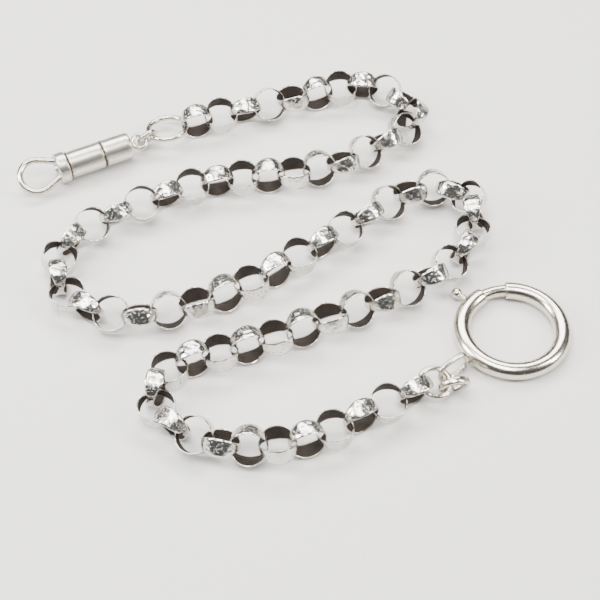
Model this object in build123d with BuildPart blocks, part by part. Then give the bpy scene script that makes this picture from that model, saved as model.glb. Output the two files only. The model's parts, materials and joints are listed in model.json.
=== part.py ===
"""Pocket watch chain: belcher links, a bolt ring at one end and a screw barrel with a swivel loop.

Millimetres, +Z up. The chain lies on a flat surface at z = 0, in five rows joined by loops,
with the bolt ring at the right and the screw barrel at the far left. Each link's ring axis is
square to the chain, and each link is turned a quarter turn from the one before it.
"""
import os
from math import cos, pi, radians, sin

from build123d import *

# ---------------------------------------------------------------- chain links
LINK_COUNT = 73
LINK_RADIUS = 2.8            # outside of the band, at the top of its dome
BAND_THICKNESS = 0.22
BAND_WIDTH = 2.7             # at the sides of the link
BAND_DOME = 0.06             # drop of the outside face from its middle to its edges
WORN_LENGTH = 2.98           # half length of the oval that narrows the band towards its ends
HANG = 0.1                   # how far a link may hang below its neighbours' height

# The lie of the chain, by hand: (link number, x, y, roll of the chain in degrees).
LIE = (
    (1, -17.2, 35.7, 87), (3, -9.2, 38.1, 59), (5, -1.2, 40.9, 21), (7, 6.85, 43.4, -14),
    (8, 10.65, 44.0, -24.5), (9, 14.5, 42.8, -41), (10, 17.3, 40.4, -46), (11, 18.7, 37.0, -48),
    (12, 17.4, 33.5, -50), (13, 14.1, 31.0, -49), (15, 7.0, 26.1, -34), (17, -1.0, 23.8, -10),
    (19, -9.2, 22.8, 7), (21, -17.3, 20.7, 19), (23, -25.1, 17.1, 34), (25, -32.6, 12.6, 37),
    (26, -35.5, 9.5, 27), (27, -36.9, 5.9, 16), (28, -36.8, 2.2, 6), (29, -35.0, -1.2, -4),
    (30, -31.9, -3.6, -18), (31, -28.1, -4.9, -32), (32, -23.9, -5.0, -46),
    (34, -15.4, -2.8, -67), (36, -7.4, 1.2, -84), (38, -0.1, 6.4, -99), (40, 7.1, 11.7, -115),
    (42, 14.0, 17.3, -134), (43, 17.6, 19.6, -145), (44, 21.3, 20.5, -150),
    (45, 24.4, 20.1, -137), (46, 26.8, 18.2, -120), (47, 27.4, 15.2, -103),
    (48, 26.9, 11.6, -88), (49, 25.4, 8.0, -75), (50, 23.0, 4.8, -63), (51, 19.8, 2.3, -52),
    (53, 12.4, -2.1, -38), (55, 4.5, -5.8, -23), (57, -3.6, -9.2, -13), (59, -11.7, -11.9, -6),
    (60, -15.6, -13.0, -2), (61, -18.9, -15.0, 3), (62, -20.7, -18.1, 3),
    (63, -20.3, -21.6, -4), (64, -17.9, -24.3, -18), (65, -14.7, -26.2, -33),
    (67, -7.1, -28.0, -64), (69, 1.0, -26.9, -84), (71, 8.6, -23.0, -98),
    (73, 16.4, -18.7, -110),
)
LIE_CENTRE = (-2.62, 7.79)    # middle of the whole layout, which becomes the origin

# Links that share a rigid piece: (first link, last link), always an odd number of links.
LINK_GROUPS = (
    [(1, 3), (4, 6)] + [(n, n) for n in range(7, 15)]
    + [(15, 17), (18, 20), (21, 23)] + [(n, n) for n in range(24, 33)]
    + [(33, 35), (36, 38), (39, 41)] + [(n, n) for n in range(42, 51)]
    + [(51, 53), (54, 56), (57, 59), (60, 60), (61, 61)]
    + [(62, 64), (65, 67), (68, 70), (71, 73)]
)

# ---------------------------------------------------------------- bolt ring
RING_PLACE = (31.6, -6.7)
RING_RADIUS = 7.5            # to the middle of the tube
TUBE_RADIUS = 1.32
TUBE_BORE = 0.96
BOLT_RADIUS = 0.9
MOUTH_RIGHT = 93.0           # the opening runs between these two directions
MOUTH_LEFT = 122.0
BOLT_TIP = 85.5
BOLT_TAIL = 146.0
BOLT_TRAVEL = 38.0
KNOB_AT = 138.0
KNOB_BALL_RADIUS = 0.86
KNOB_REACH = 10.4            # from the ring's centre to the ball's centre
KNOB_STEM_RADIUS = 0.42
KNOB_SLOT_WIDTH = 1.04
SPRING_START = 147.0
SPRING_END = 245.0
SPRING_OUTER = 0.88
SPRING_INNER = 0.58
STOP_END = 250.0
WEAR_SLOT = (60.0, 81.0)     # open seam on the inside of the tube, beside the opening
EYE_AT = 218.23

# ---------------------------------------------------------------- small rings
EYE_WIRE = 0.42
EYE_HALF_LENGTH = 2.59
EYE_HALF_WIDTH = 1.42
EYE_ROLL = 164.9
EYE_HEIGHT = 1.88
EYE_REACH = 11.74            # from the ring's centre to the eye's middle
FRONT_RING = (2.32, 0.42)    # (radius to the middle of the wire, wire radius)
FRONT_RING_PLACE = (19.59, -16.66, 1.97)
FRONT_RING_TURN = (0.56, 0.828, 77.1)    # (x, y of its chainwise direction, roll)
LOOSE_RING_RADIUS = 2.0
LOOSE_RING_BAND = (1.15, 0.78)           # (width, thickness)
LOOSE_RING_PLACE = (22.13, -17.43, 2.47)
LOOSE_RING_TURN = (0.977, 0.214, -16.3)
REAR_RING = (3.2, 0.45)
REAR_RING_PLACE = (-22.11, 34.56, 2.16)
REAR_RING_TURN = (0.928, 0.372, 101.5)
SMALL_RING = (1.6, 0.4)
SMALL_RING_PLACE = (-25.3, 32.4, 2.25)
SMALL_RING_TURN = (0.793, 0.61, -22.3)

# ---------------------------------------------------------------- screw barrel, from its collar
BARREL_START = (-39.39, 24.91)           # centre of the collar's outer face
BARREL_ALONG = (0.9, 0.4357)
COLLAR_RADIUS = 2.55
COLLAR_LENGTH = 1.75
BARREL_RADIUS = 2.2
SLEEVE_START = 1.87
SLEEVE_END = 7.75
END_WALL = 0.88
SLEEVE_BORE = 1.7
CAP_START = 7.85
CAP_END = 12.75
CAP_RECESS_END = 10.4
CAP_ROUNDING = 0.55
STUD_RADIUS = 1.62
STUD_START = 4.6
STUD_END = 10.3
PIN_RADIUS = 0.5
PIN_HEAD = (0.75, 0.42)                  # (radius, height)
PIN_FOOT = (1.1, 0.4)
PIN_END = 2.85
PIN_CLEARANCE = 0.05
EDGE_BREAK = 0.18
LOOP_RADIUS = 2.72
LOOP_WIRE = 0.54
LOOP_CENTRE = -3.4
LOOP_CONVERGE = 23.0                     # the legs close in by this angle towards the collar
LOOP_LEG_END = 0.7
LOOP_ROLL = 65.0
CAP_EYE = (1.15, 0.38)
CAP_EYE_GAP = 0.12                       # from the cap's end to the eye's ring
CAP_EYE_SHANK_END = 11.3
CAP_EYE_ROLL = 62.0

UP = Vector(0, 0, 1)


# ---------------------------------------------------------------- the lie of the chain
def lie_slope(index, column):
    """Slope of one column of LIE at one of its rows, per link."""
    before = LIE[max(index - 1, 0)]
    here = LIE[index]
    after = LIE[min(index + 1, len(LIE) - 1)]
    if before is here or after is here:
        return (after[column] - before[column]) / (after[0] - before[0])
    back = (here[column] - before[column]) / (here[0] - before[0])
    ahead = (after[column] - here[column]) / (after[0] - here[0])
    back_span, ahead_span = here[0] - before[0], after[0] - here[0]
    return (back * ahead_span + ahead * back_span) / (back_span + ahead_span)


def lie_value(number, column):
    """One column of LIE at any link, on a smooth curve through the rows given by hand."""
    index = max(i for i in range(len(LIE) - 1) if i == 0 or LIE[i][0] <= number)
    low, high = LIE[index], LIE[index + 1]
    span = high[0] - low[0]
    t = (number - low[0]) / span
    return (
        (2 * t**3 - 3 * t**2 + 1) * low[column]
        + (t**3 - 2 * t**2 + t) * span * lie_slope(index, column)
        + (3 * t**2 - 2 * t**3) * high[column]
        + (t**3 - t**2) * span * lie_slope(index + 1, column)
    )


def resting_height(roll):
    """Height of a link's centre when it stands on the surface at this roll."""
    edge_radius = LINK_RADIUS - BAND_DOME
    return edge_radius * abs(cos(radians(roll))) + BAND_WIDTH / 2 * abs(sin(radians(roll)))


def turned_plane(place, along, roll):
    """Plane with x along the chain and z at the roll, from the chain's right side up and over."""
    along = Vector(*along[:2], 0).normalized()
    right = Vector(along.Y, -along.X, 0)
    axis = right * cos(radians(roll)) + UP * sin(radians(roll))
    place = Vector(place[0] - LIE_CENTRE[0], place[1] - LIE_CENTRE[1], place[2])
    return Plane(origin=place, x_dir=along, z_dir=axis)


def link_plane(number):
    """Plane of one link: centre at its middle, x along the chain, z along its ring axis."""
    before, after = max(number - 1, 1), min(number + 1, LINK_COUNT)
    along = (
        lie_value(after, 1) - lie_value(before, 1),
        lie_value(after, 2) - lie_value(before, 2),
    )
    roll = 90 * number + lie_value(number, 3)
    height = max(resting_height(roll), resting_height(roll + 90) - HANG)
    return turned_plane((lie_value(number, 1), lie_value(number, 2), height), along, roll)


def group_name(first, last):
    """Node name of the links from first to last."""
    if first == last:
        return f"chain_link_{first:02d}"
    return f"chain_links_{first:02d}_to_{last:02d}"


def save(part, name):
    """Label a finished piece and write it."""
    part.label = name
    export_step(part, f"parts/{name}.step")


os.makedirs("parts", exist_ok=True)

# ---------------------------------------------------------------- one belcher link
with BuildPart() as link_blank:
    with BuildSketch(Plane.XZ) as band_section:
        with BuildLine():
            inner = LINK_RADIUS - BAND_THICKNESS
            edge = LINK_RADIUS - BAND_DOME
            half = BAND_WIDTH / 2
            ThreePointArc((edge, -half), (LINK_RADIUS, 0), (edge, half))
            Polyline((edge, half), (inner, half), (inner, -half), (edge, -half))
        make_face()
    revolve(axis=Axis.Z)
    with BuildSketch(Plane.XZ):
        Ellipse(WORN_LENGTH, BAND_WIDTH / 2)
    extrude(amount=LINK_RADIUS + 1, both=True, mode=Mode.INTERSECT)

for first, last in LINK_GROUPS:
    placed = [
        link_blank.part.moved(link_plane(number).location) for number in range(first, last + 1)
    ]
    with BuildPart() as link_group:
        add(placed)
    save(link_group.part, group_name(first, last))

# ---------------------------------------------------------------- bolt ring
ring_plane = turned_plane((*RING_PLACE, TUBE_RADIUS), (1, 0), 90)
ring_axis = Axis(ring_plane.origin, (0, 0, 1))


def spoke(angle):
    """Plane across the ring's tube: x points out from the ring's centre, y points up."""
    out = Vector(cos(radians(angle)), sin(radians(angle)), 0)
    return Plane(origin=ring_plane.origin, x_dir=out, z_dir=out.cross(UP))


def at_spoke(angle, radius, height=0.0):
    """Point at a distance from the ring's centre, in a direction."""
    return spoke(angle).from_local_coords((radius, height, 0))


with BuildPart() as bolt_ring_body:
    ring_span = 360 - (MOUTH_LEFT - MOUTH_RIGHT)
    with BuildSketch(spoke(MOUTH_LEFT)):
        with Locations((RING_RADIUS, 0)):
            Circle(TUBE_RADIUS)
            Circle(TUBE_BORE, mode=Mode.SUBTRACT)
    revolve(axis=ring_axis, revolution_arc=ring_span)
    with BuildSketch(spoke(KNOB_AT - 4)):
        with Locations((RING_RADIUS + TUBE_RADIUS, 0)):
            Rectangle(TUBE_RADIUS, KNOB_SLOT_WIDTH)
    revolve(axis=ring_axis, revolution_arc=BOLT_TRAVEL + 8, mode=Mode.SUBTRACT)
    with BuildSketch(spoke(WEAR_SLOT[0])):
        with Locations((RING_RADIUS - TUBE_RADIUS, 0)):
            Rectangle(TUBE_RADIUS - TUBE_BORE + 0.2, 0.5)
    revolve(axis=ring_axis, revolution_arc=WEAR_SLOT[1] - WEAR_SLOT[0], mode=Mode.SUBTRACT)
save(bolt_ring_body.part, "bolt_ring_body")

stem_plane = Plane(
    origin=at_spoke(KNOB_AT, RING_RADIUS + 0.45), z_dir=spoke(KNOB_AT).x_dir
)
with BuildPart() as ring_bolt:
    with BuildSketch(spoke(BOLT_TIP)):
        with Locations((RING_RADIUS, 0)):
            Circle(BOLT_RADIUS)
    revolve(axis=ring_axis, revolution_arc=BOLT_TAIL - BOLT_TIP)
    tip_edges = [
        edge for edge in ring_bolt.edges() if edge.length < 2 * pi * BOLT_RADIUS + 0.01
    ]
    fillet(tip_edges, radius=0.2)
    with BuildSketch(stem_plane):
        Circle(KNOB_STEM_RADIUS + 0.02)
    extrude(amount=2, mode=Mode.SUBTRACT)
save(ring_bolt.part, "ring_bolt")

with BuildPart() as thumb_knob:
    with BuildSketch(stem_plane):
        Circle(KNOB_STEM_RADIUS)
    extrude(amount=KNOB_REACH - RING_RADIUS - 0.45)
    with Locations(at_spoke(KNOB_AT, KNOB_REACH)):
        Sphere(KNOB_BALL_RADIUS)
save(thumb_knob.part, "thumb_knob")

with BuildPart() as bolt_spring:
    with BuildSketch(spoke(SPRING_START)):
        with Locations((RING_RADIUS, 0)):
            Circle(SPRING_OUTER)
            Circle(SPRING_INNER, mode=Mode.SUBTRACT)
    revolve(axis=ring_axis, revolution_arc=SPRING_END - SPRING_START)
save(bolt_spring.part, "bolt_spring")

with BuildPart() as spring_stop:
    with BuildSketch(spoke(SPRING_END + 0.4)):
        with Locations((RING_RADIUS, 0)):
            Circle(TUBE_BORE - 0.02)
    revolve(axis=ring_axis, revolution_arc=STOP_END - SPRING_END)
save(spring_stop.part, "spring_stop")

# ---------------------------------------------------------------- the bolt ring's eye
eye_point = at_spoke(EYE_AT, EYE_REACH)
eye_out = spoke(EYE_AT).x_dir
eye_place = (eye_point.X + LIE_CENTRE[0], eye_point.Y + LIE_CENTRE[1], EYE_HEIGHT)
eye_plane = turned_plane(eye_place, (eye_out.X, eye_out.Y), EYE_ROLL)

with BuildPart() as ring_eye:
    straight = EYE_HALF_LENGTH - EYE_HALF_WIDTH
    with BuildLine(eye_plane) as eye_path:
        Line((-straight, EYE_HALF_WIDTH), (straight, EYE_HALF_WIDTH))
        ThreePointArc((straight, EYE_HALF_WIDTH), (EYE_HALF_LENGTH, 0), (straight, -EYE_HALF_WIDTH))
        Line((straight, -EYE_HALF_WIDTH), (-straight, -EYE_HALF_WIDTH))
        ThreePointArc(
            (-straight, -EYE_HALF_WIDTH), (-EYE_HALF_LENGTH, 0), (-straight, EYE_HALF_WIDTH)
        )
    with BuildSketch(
        Plane(
            origin=eye_plane.from_local_coords((0, EYE_HALF_WIDTH, 0)),
            x_dir=eye_plane.z_dir,
            z_dir=eye_plane.x_dir,
        )
    ):
        Circle(EYE_WIRE)
    sweep(path=eye_path.wires()[0])
    with BuildSketch(spoke(EYE_AT - 60)):
        with Locations((RING_RADIUS, 0)):
            Circle(TUBE_RADIUS)
    revolve(axis=ring_axis, revolution_arc=120, mode=Mode.SUBTRACT)
save(ring_eye.part, "ring_eye")


# ---------------------------------------------------------------- round wire rings
def wire_ring(name, sizes, place, turn):
    """A ring of round wire: sizes are its radius to the wire's middle and the wire's radius."""
    plane = turned_plane(place, turn[:2], turn[2])
    section = Plane(origin=plane.origin, x_dir=plane.x_dir, z_dir=plane.x_dir.cross(plane.z_dir))
    with BuildPart() as ring:
        with BuildSketch(section):
            with Locations((sizes[0], 0)):
                Circle(sizes[1])
        revolve(axis=Axis(plane.origin, plane.z_dir))
    save(ring.part, name)


wire_ring("front_jump_ring", FRONT_RING, FRONT_RING_PLACE, FRONT_RING_TURN)
wire_ring("rear_jump_ring", REAR_RING, REAR_RING_PLACE, REAR_RING_TURN)
wire_ring("small_jump_ring", SMALL_RING, SMALL_RING_PLACE, SMALL_RING_TURN)

loose_plane = turned_plane(LOOSE_RING_PLACE, LOOSE_RING_TURN[:2], LOOSE_RING_TURN[2])
with BuildPart() as loose_ring:
    with BuildSketch(
        Plane(
            origin=loose_plane.origin,
            x_dir=loose_plane.x_dir,
            z_dir=loose_plane.x_dir.cross(loose_plane.z_dir),
        )
    ):
        with Locations((LOOSE_RING_RADIUS, 0)):
            RectangleRounded(LOOSE_RING_BAND[1], LOOSE_RING_BAND[0], 0.34)
    revolve(axis=Axis(loose_plane.origin, loose_plane.z_dir))
save(loose_ring.part, "loose_ring")

# ---------------------------------------------------------------- screw barrel
barrel_plane = turned_plane((*BARREL_START, COLLAR_RADIUS), BARREL_ALONG, LOOP_ROLL)
barrel_axis = Axis(barrel_plane.origin, barrel_plane.x_dir)


def lathe(outline):
    """Turn an outline of (distance along the barrel, radius) points about the barrel's axis."""
    with BuildSketch(barrel_plane) as section:
        with BuildLine():
            Polyline(*outline, close=True)
        make_face()
    revolve(section.sketch, axis=barrel_axis)


def along_barrel(distance):
    """Plane across the barrel, at a distance from its collar's outer face."""
    return Plane(
        origin=barrel_plane.from_local_coords((distance, 0, 0)),
        x_dir=barrel_plane.y_dir,
        z_dir=barrel_plane.x_dir,
    )


leg_slope = cos(radians(90 - LOOP_CONVERGE)) / cos(radians(LOOP_CONVERGE))
bend_along = LOOP_CENTRE + LOOP_RADIUS * sin(radians(LOOP_CONVERGE))
bend_out = LOOP_RADIUS * cos(radians(LOOP_CONVERGE))
leg_end_out = bend_out - (LOOP_LEG_END - bend_along) * leg_slope


def leg_direction(side):
    """Direction in which a leg of the loop runs into the collar."""
    return (
        barrel_plane.x_dir * cos(radians(LOOP_CONVERGE))
        - barrel_plane.y_dir * side * sin(radians(LOOP_CONVERGE))
    )


with BuildPart() as wire_loop:
    with BuildLine(barrel_plane) as loop_path:
        Line((LOOP_LEG_END, leg_end_out), (bend_along, bend_out))
        ThreePointArc(
            (bend_along, bend_out), (LOOP_CENTRE - LOOP_RADIUS, 0), (bend_along, -bend_out)
        )
        Line((bend_along, -bend_out), (LOOP_LEG_END, -leg_end_out))
    with BuildSketch(
        Plane(
            origin=barrel_plane.from_local_coords((LOOP_LEG_END, leg_end_out, 0)),
            x_dir=barrel_plane.z_dir,
            z_dir=leg_direction(1),
        )
    ):
        Circle(LOOP_WIRE)
    sweep(path=loop_path.wires()[0])
save(wire_loop.part, "wire_loop")

with BuildPart() as loop_collar:
    bore = PIN_RADIUS + PIN_CLEARANCE
    lathe([
        (0, bore), (0, COLLAR_RADIUS - EDGE_BREAK), (EDGE_BREAK, COLLAR_RADIUS),
        (COLLAR_LENGTH - EDGE_BREAK, COLLAR_RADIUS), (COLLAR_LENGTH, COLLAR_RADIUS - EDGE_BREAK),
        (COLLAR_LENGTH, bore),
    ])
    for side in (1, -1):
        with BuildSketch(
            Plane(
                origin=barrel_plane.from_local_coords((LOOP_LEG_END, side * leg_end_out, 0)),
                z_dir=leg_direction(side),
            )
        ):
            Circle(LOOP_WIRE + 0.01)
        extrude(amount=-3, mode=Mode.SUBTRACT)
save(loop_collar.part, "loop_collar")

with BuildPart() as swivel_pin:
    head_radius, head_height = PIN_HEAD
    foot_radius, foot_height = PIN_FOOT
    lathe([
        (-0.02 - head_height, 0), (-0.02 - head_height, head_radius * 0.6),
        (-0.02 - head_height / 3, head_radius), (-0.02, head_radius), (-0.02, PIN_RADIUS),
        (PIN_END, PIN_RADIUS), (PIN_END, foot_radius), (PIN_END + foot_height, foot_radius),
        (PIN_END + foot_height, 0),
    ])
save(swivel_pin.part, "swivel_pin")

with BuildPart() as barrel_sleeve:
    lathe([
        (SLEEVE_START, PIN_RADIUS + PIN_CLEARANCE), (SLEEVE_START, BARREL_RADIUS - EDGE_BREAK),
        (SLEEVE_START + EDGE_BREAK, BARREL_RADIUS), (SLEEVE_END, BARREL_RADIUS),
        (SLEEVE_END, SLEEVE_BORE), (SLEEVE_START + END_WALL, SLEEVE_BORE),
        (SLEEVE_START + END_WALL, PIN_RADIUS + PIN_CLEARANCE),
    ])
save(barrel_sleeve.part, "barrel_sleeve")

with BuildPart() as screw_stud:
    lathe([(STUD_START, 0), (STUD_START, STUD_RADIUS), (STUD_END, STUD_RADIUS), (STUD_END, 0)])
save(screw_stud.part, "screw_stud")

eye_radius, eye_wire = CAP_EYE
shank_start = CAP_END + CAP_EYE_GAP + eye_wire
with BuildPart() as barrel_cap:
    with BuildSketch(barrel_plane):
        with BuildLine():
            recess = STUD_RADIUS + 0.02
            shank_hole = eye_wire + 0.02
            Polyline(
                (CAP_END - CAP_ROUNDING, BARREL_RADIUS), (CAP_START, BARREL_RADIUS),
                (CAP_START, recess), (CAP_RECESS_END, recess), (CAP_RECESS_END, 0),
                (CAP_EYE_SHANK_END - 0.1, 0), (CAP_EYE_SHANK_END - 0.1, shank_hole),
                (CAP_END, shank_hole), (CAP_END, BARREL_RADIUS - CAP_ROUNDING),
            )
            RadiusArc(
                (CAP_END, BARREL_RADIUS - CAP_ROUNDING), (CAP_END - CAP_ROUNDING, BARREL_RADIUS),
                CAP_ROUNDING,
            )
        make_face()
    revolve(axis=barrel_axis)
save(barrel_cap.part, "barrel_cap")

cap_eye_along = CAP_END + CAP_EYE_GAP + eye_wire + eye_radius
cap_eye_plane = Plane(
    origin=barrel_plane.from_local_coords((cap_eye_along, 0, 0)),
    x_dir=barrel_plane.x_dir,
    z_dir=barrel_plane.z_dir,
).rotated((CAP_EYE_ROLL - LOOP_ROLL, 0, 0))
with BuildPart() as cap_eye:
    with BuildSketch(
        Plane(
            origin=cap_eye_plane.origin,
            x_dir=cap_eye_plane.x_dir,
            z_dir=cap_eye_plane.x_dir.cross(cap_eye_plane.z_dir),
        )
    ):
        with Locations((eye_radius, 0)):
            Circle(eye_wire)
    revolve(axis=Axis(cap_eye_plane.origin, cap_eye_plane.z_dir))
    with BuildSketch(along_barrel(CAP_EYE_SHANK_END)):
        Circle(eye_wire)
    extrude(amount=CAP_END + CAP_EYE_GAP + eye_wire - CAP_EYE_SHANK_END)
save(cap_eye.part, "cap_eye")
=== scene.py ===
"""The looks of a pocket watch chain: belcher links, a bolt ring, wire rings and a screw barrel.

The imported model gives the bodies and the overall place. Each visible node is replaced by a finer
piece of the same size, dressed in worn silver. Lengths below are in millimetres and are turned
into metres where a mesh is made.
"""

from __future__ import annotations

import json
import logging
import math
from dataclasses import dataclass, field
from enum import Enum
from typing import Any, Callable, Iterable, Sequence

import bmesh
import bpy
from mathutils import Matrix, Vector

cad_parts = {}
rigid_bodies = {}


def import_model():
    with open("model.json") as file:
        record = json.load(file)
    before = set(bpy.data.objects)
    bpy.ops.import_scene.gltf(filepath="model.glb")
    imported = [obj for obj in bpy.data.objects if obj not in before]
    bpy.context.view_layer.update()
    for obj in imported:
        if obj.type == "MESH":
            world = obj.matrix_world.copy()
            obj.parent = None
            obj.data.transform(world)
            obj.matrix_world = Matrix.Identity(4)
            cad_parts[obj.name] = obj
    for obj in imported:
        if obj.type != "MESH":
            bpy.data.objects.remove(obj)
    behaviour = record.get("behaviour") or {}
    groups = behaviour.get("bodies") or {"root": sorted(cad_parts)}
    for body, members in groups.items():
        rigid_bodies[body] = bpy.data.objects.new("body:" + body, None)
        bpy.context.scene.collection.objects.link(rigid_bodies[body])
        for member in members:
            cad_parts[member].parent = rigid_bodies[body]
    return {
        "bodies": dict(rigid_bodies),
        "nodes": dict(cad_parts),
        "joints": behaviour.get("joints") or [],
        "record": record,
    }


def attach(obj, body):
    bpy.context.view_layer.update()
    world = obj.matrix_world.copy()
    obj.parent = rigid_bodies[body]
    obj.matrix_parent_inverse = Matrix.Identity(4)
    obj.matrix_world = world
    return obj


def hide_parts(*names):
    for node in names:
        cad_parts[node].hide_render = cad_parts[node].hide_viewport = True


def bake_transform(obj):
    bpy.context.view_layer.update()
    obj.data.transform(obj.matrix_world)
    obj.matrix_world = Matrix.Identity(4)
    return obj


log = logging.getLogger("watch_chain")

MM = 0.001
UP = Vector((0.0, 0.0, 1.0))
SEED = 7

# Middle of the layout in the frame in which the lie of the chain is given.
LIE_CENTRE = (-2.62, 7.79)

# The lie of the chain: (link number, x, y, roll of the chain in degrees).
LIE = (
    (1, -17.2, 35.7, 87), (3, -9.2, 38.1, 59), (5, -1.2, 40.9, 21), (7, 6.85, 43.4, -14),
    (8, 10.65, 44.0, -24.5), (9, 14.5, 42.8, -41), (10, 17.3, 40.4, -46), (11, 18.7, 37.0, -48),
    (12, 17.4, 33.5, -50), (13, 14.1, 31.0, -49), (15, 7.0, 26.1, -34), (17, -1.0, 23.8, -10),
    (19, -9.2, 22.8, 7), (21, -17.3, 20.7, 19), (23, -25.1, 17.1, 34), (25, -32.6, 12.6, 37),
    (26, -35.5, 9.5, 27), (27, -36.9, 5.9, 16), (28, -36.8, 2.2, 6), (29, -35.0, -1.2, -4),
    (30, -31.9, -3.6, -18), (31, -28.1, -4.9, -32), (32, -23.9, -5.0, -46),
    (34, -15.4, -2.8, -67), (36, -7.4, 1.2, -84), (38, -0.1, 6.4, -99), (40, 7.1, 11.7, -115),
    (42, 14.0, 17.3, -134), (43, 17.6, 19.6, -145), (44, 21.3, 20.5, -150),
    (45, 24.4, 20.1, -137), (46, 26.8, 18.2, -120), (47, 27.4, 15.2, -103),
    (48, 26.9, 11.6, -88), (49, 25.4, 8.0, -75), (50, 23.0, 4.8, -63), (51, 19.8, 2.3, -52),
    (53, 12.4, -2.1, -38), (55, 4.5, -5.8, -23), (57, -3.6, -9.2, -13), (59, -11.7, -11.9, -6),
    (60, -15.6, -13.0, -2), (61, -18.9, -15.0, 3), (62, -20.7, -18.1, 3),
    (63, -20.3, -21.6, -4), (64, -17.9, -24.3, -18), (65, -14.7, -26.2, -33),
    (67, -7.1, -28.0, -64), (69, 1.0, -26.9, -84), (71, 8.6, -23.0, -98),
    (73, 16.4, -18.7, -110),
)


class Slot(Enum):
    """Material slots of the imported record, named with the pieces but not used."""

    CHAIN = "chain_silver"
    RING = "ring_silver"
    WIRE = "wire_silver"
    BARREL = "barrel_silver"
    STEEL = "spring_steel"


class Body(Enum):
    """Bodies that carry the fittings."""

    BOLT_RING = "bolt_ring"
    BOLT = "ring_bolt"
    FRONT_RING = "front_jump_ring"
    LOOSE_RING = "loose_ring"
    REAR_RING = "rear_jump_ring"
    SMALL_RING = "small_jump_ring"
    CAP = "barrel_cap"
    SLEEVE = "barrel_sleeve"
    PIN = "swivel_pin"
    LOOP = "loop_head"


# ------------------------------------------------------------------ shader maths
class Value:
    """A number in a shader tree: arithmetic on it adds Math nodes."""

    def __init__(self, tree: "ShaderTree", socket: Any) -> None:
        """Wrap a socket.

        Args:
            tree: The shader tree that the socket belongs to.
            socket: The output socket that gives the number.
        """
        self.tree = tree
        self.socket = socket

    def _math(self, operation: str, first: Any, second: Any = 0.0, clamp: bool = False) -> "Value":
        """Add a Math node and wrap its result."""
        node = self.tree.node(
            "ShaderNodeMath", {"operation": operation, "use_clamp": clamp}, {0: first, 1: second}
        )
        return Value(self.tree, node.outputs[0])

    def __add__(self, other: Any) -> "Value":
        """Sum."""
        return self._math("ADD", self, other)

    __radd__ = __add__

    def __sub__(self, other: Any) -> "Value":
        """Difference."""
        return self._math("SUBTRACT", self, other)

    def __rsub__(self, other: Any) -> "Value":
        """Difference, from a plain number."""
        return self._math("SUBTRACT", other, self)

    def __mul__(self, other: Any) -> "Value":
        """Product."""
        return self._math("MULTIPLY", self, other)

    __rmul__ = __mul__

    def clamped(self) -> "Value":
        """The number, held between 0 and 1."""
        return self._math("ADD", self, 0.0, clamp=True)

    def step(self, low: float, high: float) -> "Value":
        """Smooth step from 0 at low to 1 at high."""
        node = self.tree.node(
            "ShaderNodeMapRange",
            {"interpolation_type": "SMOOTHSTEP"},
            {"Value": self, "From Min": low, "From Max": high},
        )
        return Value(self.tree, node.outputs["Result"])


class ShaderTree:
    """A material and the nodes added to it."""

    def __init__(self, name: str) -> None:
        """Make an empty material.

        Args:
            name: Name of the material.
        """
        self.material = bpy.data.materials.new(name)
        self.material.use_nodes = True
        self.tree = self.material.node_tree
        self.shader = self.tree.nodes["Principled BSDF"]
        self.coords = self.node("ShaderNodeTexCoord", {}, {}).outputs["Object"]

    def node(self, kind: str, settings: dict[str, Any], inputs: dict[Any, Any]) -> Any:
        """Add a node.

        Args:
            kind: Blender's type of the node.
            settings: Properties, set before the inputs.
            inputs: Values or links by socket name or number.

        Returns:
            The new node.
        """
        node = self.tree.nodes.new(kind)
        for name, value in settings.items():
            setattr(node, name, value)
        for key, value in inputs.items():
            self.feed(node.inputs[key], value)
        return node

    def feed(self, socket: Any, value: Any) -> None:
        """Link or set one input socket."""
        if isinstance(value, Value):
            self.tree.links.new(value.socket, socket)
        elif isinstance(value, bpy.types.NodeSocket):
            self.tree.links.new(value, socket)
        else:
            socket.default_value = value

    def noise(self, size: float, detail: float = 2.0) -> Value:
        """Noise with features of a given size.

        Args:
            size: Feature size in millimetres.
            detail: Octaves of finer noise.

        Returns:
            A number about 0.5.
        """
        node = self.node(
            "ShaderNodeTexNoise",
            {},
            {"Vector": self.coords, "Scale": 1.0 / (size * MM), "Detail": detail, "Roughness": 0.55},
        )
        return Value(self, node.outputs["Fac"])

    def pits(self, size: float) -> Value:
        """Rounded cells of a given size in millimetres, as left by a small hammer."""
        node = self.node(
            "ShaderNodeTexVoronoi",
            {"feature": "SMOOTH_F1"},
            {"Vector": self.coords, "Scale": 1.0 / (size * MM), "Smoothness": 0.7},
        )
        return Value(self, node.outputs["Distance"])

    def mark(self, name: str) -> Value:
        """A number stored on the mesh under a name; 0 where the mesh has none."""
        node = self.node("ShaderNodeAttribute", {"attribute_name": name}, {})
        return Value(self, node.outputs["Fac"])

    def mix(self, factor: Value, first: Any, second: Any) -> Any:
        """Blend two colours."""
        node = self.node("ShaderNodeMix", {"data_type": "RGBA"}, {})
        self.feed(node.inputs["Factor"], factor)
        colours = [socket for socket in node.inputs if socket.type == "RGBA"]
        self.feed(colours[0], first)
        self.feed(colours[1], second)
        return next(socket for socket in node.outputs if socket.type == "RGBA")

    def bump(self, height: Value, depth: float, strength: float) -> None:
        """Feed the shader's normal from a height.

        Args:
            height: Height, about 0 to 1.
            depth: Millimetres that a height of 1 stands for.
            strength: Strength of the bump.
        """
        node = self.node(
            "ShaderNodeBump", {}, {"Height": height, "Distance": depth * MM, "Strength": strength}
        )
        self.tree.links.new(node.outputs["Normal"], self.shader.inputs["Normal"])


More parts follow.
